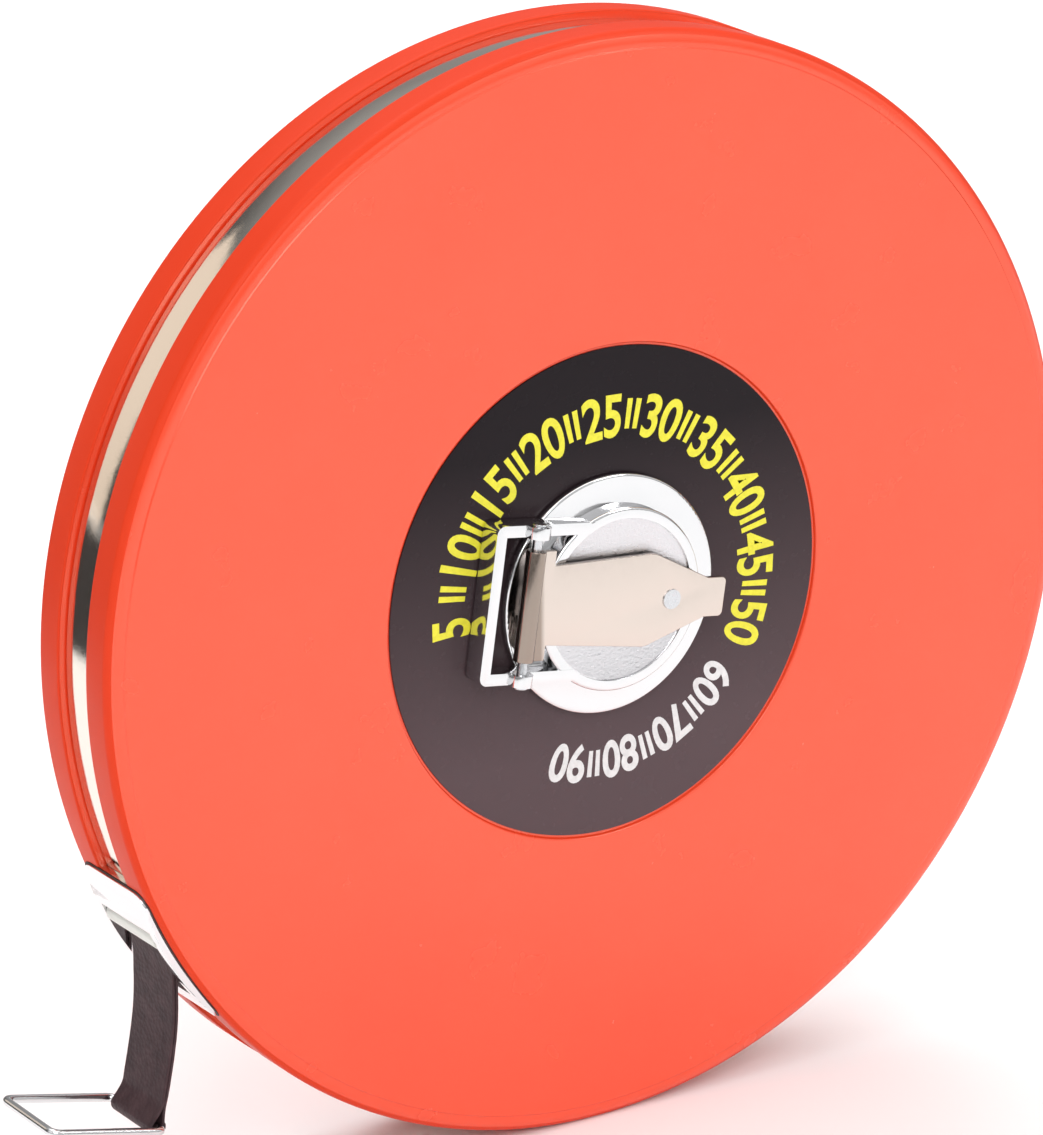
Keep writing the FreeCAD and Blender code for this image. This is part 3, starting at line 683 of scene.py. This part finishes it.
def build_ring():
    """Bent wire ring."""
    along = Vector((-math.cos(RING_TILT), 0, math.sin(RING_TILT)))
    across = Vector((0, 1, 0))
    start = Vector((LOOP_X, MID_Y, LOOP_Z))
    outline = [(0, -RING_HALF_W), (RING_LENGTH, -RING_HALF_W), (RING_LENGTH, RING_HALF_W), (0, RING_HALF_W)]
    corners = rounded(outline, [RING_CORNER] * 4, 10)
    path = []
    for i, point in enumerate(corners):
        after = corners[(i + 1) % len(corners)]
        parts = max(1, round((after - point).length / (1.0 * MM)))
        path += [point.lerp(after, step / parts) for step in range(parts)]
    points = [start + along * p.x + across * p.y for p in path]
    angles = [math.tau * i / 20 for i in range(20)]
    section = [(WIRE_R * math.cos(angle), WIRE_R * math.sin(angle)) for angle in angles]
    ring = sweep("wire_ring", points, along.cross(across).normalized(), section, True)
    smooth(ring, 60)
    finish_piece(ring, WIRE, "ring", "ring_wire", "end_ring")


def copy_hardware():
    """Metal and nylon parts that keep their CAD shape, with softened edges."""
    from_node("mouth_saddle", "mouthpiece", 0.12, CHROME, "case", "bright_chrome")
    from_node("crank_hub", "crank_base", 0.1, HUB, "reel", "bright_chrome")
    from_node("crank_plate", "crank_arm", 0.1, ARM, "crank", "bright_chrome")
    from_node("winding_knob", "knob", 0.06, KNOB, "knob", "knob_black")
    from_node("outer_roller_skin", "mouth_roller_outer", 0.12, NYLON, "outer_roller", "bearing_nylon")
    from_node("inner_roller_skin", "mouth_roller_inner", 0.1, NYLON, "inner_roller", "bearing_nylon")
    from_node("pivot_pin", "hinge_pin", 0.06, STEEL, "reel", "zinc_steel")
    from_node("screw_head", "back_screw", 0.08, STEEL, "reel", "zinc_steel")
    from_node("washer_plate", "back_washer", 0.1, STEEL, "reel", "zinc_steel")


def build_stage():
    """Pale floor under the standing case."""
    bm = bmesh.new()
    size = 6.0
    corners = [bm.verts.new((x * size, y * size, FLOOR_Z)) for x, y in ((-1, -1), (1, -1), (1, 1), (-1, 1))]
    bm.faces.new(corners)
    floor = new_object("floor", bm)
    s = Shader("floor white", (0.95, 0.95, 0.95), 0.6)
    s.link(s.ramp(s.noise(3, 2), (0.94, 0.94, 0.94), (0.96, 0.96, 0.96)), s.bsdf.inputs["Base Color"])
    set_material(floor, s.material)


def area_light(name, place, size, power, color=(1, 1, 1)):
    """Softbox that faces the object and isn't seen by the camera; returns it."""
    data = bpy.data.lights.new(name, "AREA")
    data.shape = "RECTANGLE"
    data.size, data.size_y = size
    data.energy = power
    data.color = color
    light = bpy.data.objects.new(name, data)
    bpy.context.scene.collection.objects.link(light)
    light.location = place
    light.rotation_euler = (-Vector(place)).to_track_quat("-Z", "Y").to_euler()
    light.visible_camera = False
    return light


def build_flag():
    """Low dark card behind on the left, which the bright band mirrors."""
    bm = bmesh.new()
    centre = Vector((-0.238, 0.216, 0))
    across = Vector((0.827, 0.562, 0)) * 0.22
    low, high = Vector((0, 0, FLOOR_Z + 0.001)), Vector((0, 0, 0.012))
    corners = [centre - across + low, centre + across + low, centre + across + high, centre - across + high]
    bm.faces.new([bm.verts.new(corner) for corner in corners])
    flag = new_object("flag", bm)
    set_material(flag, plain_plastic("flag grey", (0.03, 0.028, 0.028), 0.8))
    flag.visible_camera = False
    flag.visible_diffuse = False
    flag.visible_shadow = False


def build_world():
    """Studio surround: white to the camera, darker at the horizon and behind in reflections."""
    world = bpy.data.worlds.new("studio")
    bpy.context.scene.world = world
    world.use_nodes = True
    tree = world.node_tree
    tree.nodes.clear()

    def node(kind, **values):
        made = tree.nodes.new(kind)
        for key, value in values.items():
            if key in made.inputs:
                made.inputs[key].default_value = value
            else:
                setattr(made, key, value)
        return made

    def spread(source, from_low, from_high, low, high):
        made = node("ShaderNodeMapRange")
        limits = {"From Min": from_low, "From Max": from_high, "To Min": low, "To Max": high}
        for key, value in limits.items():
            made.inputs[key].default_value = value
        tree.links.new(source, made.inputs["Value"])
        return made.outputs["Result"]

    def mixed(factor, a, b):
        made = node("ShaderNodeMix")
        tree.links.new(factor, made.inputs["Factor"])
        for socket, value in (("A", a), ("B", b)):
            if isinstance(value, float):
                made.inputs[socket].default_value = value
            else:
                tree.links.new(value, made.inputs[socket])
        return made.outputs["Result"]

    coords = node("ShaderNodeTexCoord")
    axes = node("ShaderNodeSeparateXYZ")
    tree.links.new(coords.outputs["Generated"], axes.inputs["Vector"])
    x, y, z = (axes.outputs[key] for key in "XYZ")
    back = spread(x, -0.1, 0.6, 0.12, 0.4)
    sides = mixed(spread(y, 0.45, -0.2, 0.0, 1.0), back, 0.7)
    low_sky = node("ShaderNodeMath", operation="MULTIPLY")
    tree.links.new(sides, low_sky.inputs[0])
    tree.links.new(spread(z, 0.0, 0.28, 0.3, 1.0), low_sky.inputs[1])
    sky = mixed(spread(z, 0.5, 0.95, 0.0, 1.0), low_sky.outputs["Value"], 0.9)
    light = node("ShaderNodeBackground")
    tree.links.new(sky, light.inputs["Strength"])
    plain = node("ShaderNodeBackground", Strength=1.0)
    plain.inputs["Color"].default_value = (1, 1, 1, 1)
    light.inputs["Color"].default_value = (1, 1, 1, 1)
    path = node("ShaderNodeLightPath")
    choice = node("ShaderNodeMixShader")
    out = node("ShaderNodeOutputWorld")
    tree.links.new(path.outputs["Is Camera Ray"], choice.inputs["Fac"])
    tree.links.new(light.outputs["Background"], choice.inputs[1])
    tree.links.new(plain.outputs["Background"], choice.inputs[2])
    tree.links.new(choice.outputs["Shader"], out.inputs["Surface"])


def build_light():
    """Soft studio light."""
    build_world()
    area_light("key", (-0.9, -1.3, 1.2), (1.2, 1.2), 12)
    fill = area_light("fill", (1.1, -1.4, 0.6), (1.4, 1.0), 8)
    fill.visible_glossy = False
    ridge = area_light("ridge", (0.88, -0.90, 1.13), (0.5, 0.35), 5)
    ridge.visible_diffuse = False
    wash = area_light("wash", (0.35, 0.95, 1.2), (1.2, 0.8), 9)
    wash.visible_glossy = False
    area_light("top", (0.0, 0.2, 1.7), (1.6, 1.6), 10)
    area_light("left", (-1.5, 0.1, 0.7), (1.0, 0.9), 1.5)
    card = area_light("card", (-0.60, 1.07, 0.36), (0.46, 0.78), 0.95, (1.0, 0.85, 0.71))
    card.visible_diffuse = False
    bpy.context.scene.view_settings.view_transform = "Standard"


def build_camera():
    data = bpy.data.cameras.new("camera")
    data.lens = LENS_MM
    data.sensor_width = 36.0
    camera = bpy.data.objects.new("camera", data)
    bpy.context.scene.collection.objects.link(camera)
    back = Vector((math.sin(VIEW_AZIMUTH) * math.cos(VIEW_ELEVATION),
                   -math.cos(VIEW_AZIMUTH) * math.cos(VIEW_ELEVATION),
                   math.sin(VIEW_ELEVATION)))
    camera.location = VIEW_AIM + back * VIEW_DISTANCE
    camera.rotation_euler = (-back).to_track_quat("-Z", "Y").to_euler()
    data.clip_start = 0.05
    bpy.context.scene.camera = camera


RED = red_plastic("case red", 0.96, 0.24, 1.0)
RIM_RED = red_plastic("rim red", 0.8, 0.4, 0.2)
CHROME = chrome("bright chrome", (0.80, 0.80, 0.81))
# Cream tint of the band: partly its own, partly a painted reflection of a warm surround.
BAND = chrome("band chrome", (0.82, 0.76, 0.69))
BLACK = label_black()
STRAP = leatherette()
STEEL = plain_metal("zinc steel", (0.62, 0.63, 0.65), 0.25)
WIRE = plain_metal("ring wire", (0.72, 0.72, 0.73), 0.16)
NYLON = plain_plastic("nylon", (0.80, 0.79, 0.74), 0.45)
WHITE = plain_plastic("drum white", (0.85, 0.84, 0.80), 0.4)
KNOB = plain_plastic("knob black", (0.02, 0.02, 0.021), 0.3)
# Painted shadow: near-black brown for the strip that stands in for the gap round the mouthpiece.
GAP_SHADOW = plain_plastic("gap shadow dark", (0.035, 0.008, 0.006), 0.6)
YELLOW_TAPE = tape_side()

HUB = hub_chrome()
ARM = arm_nickel()
YELLOW_INK = ink("ink yellow", (0.80, 0.74, 0.03))
BLACK_INK = ink("ink black", (0.02, 0.02, 0.02))
WHITE_INK = ink("ink white", (0.75, 0.73, 0.73))

build_shells()
build_band()
build_seam()
build_label()
yellow_numbers = [str(number) for number in range(5, 55, 5)]
build_dial("dial_yellow", YELLOW_INK, "tape_yellow", yellow_numbers, 181, 22.4, 27.1, 6.5)
build_dial("dial_white", WHITE_INK, "drum_white", ["60", "70", "80", "90"], -43, 20.5, 26.5, 5.8)
build_strap()
build_graduations()
build_ring()
copy_hardware()
NODE_LOOKS = {
    "rim_band": CHROME, "mouthpiece": CHROME, "crank_base": CHROME, "crank_arm": CHROME,
    "front_label": BLACK, "end_strap": STRAP, "end_ring": WIRE, "knob": KNOB,
    "front_bush": NYLON, "back_bush": NYLON, "thrust_washer": NYLON,
    "mouth_roller_outer": NYLON, "mouth_roller_inner": NYLON,
    "reel_core": WHITE, "reel_flange_front": WHITE, "reel_flange_back": WHITE,
    "wound_tape": YELLOW_TAPE, "tape_run": YELLOW_TAPE,
}
for node_name, node in nodes.items():
    set_material(node, NODE_LOOKS.get(node_name, STEEL))

build_stage()
build_flag()
build_light()
build_camera()
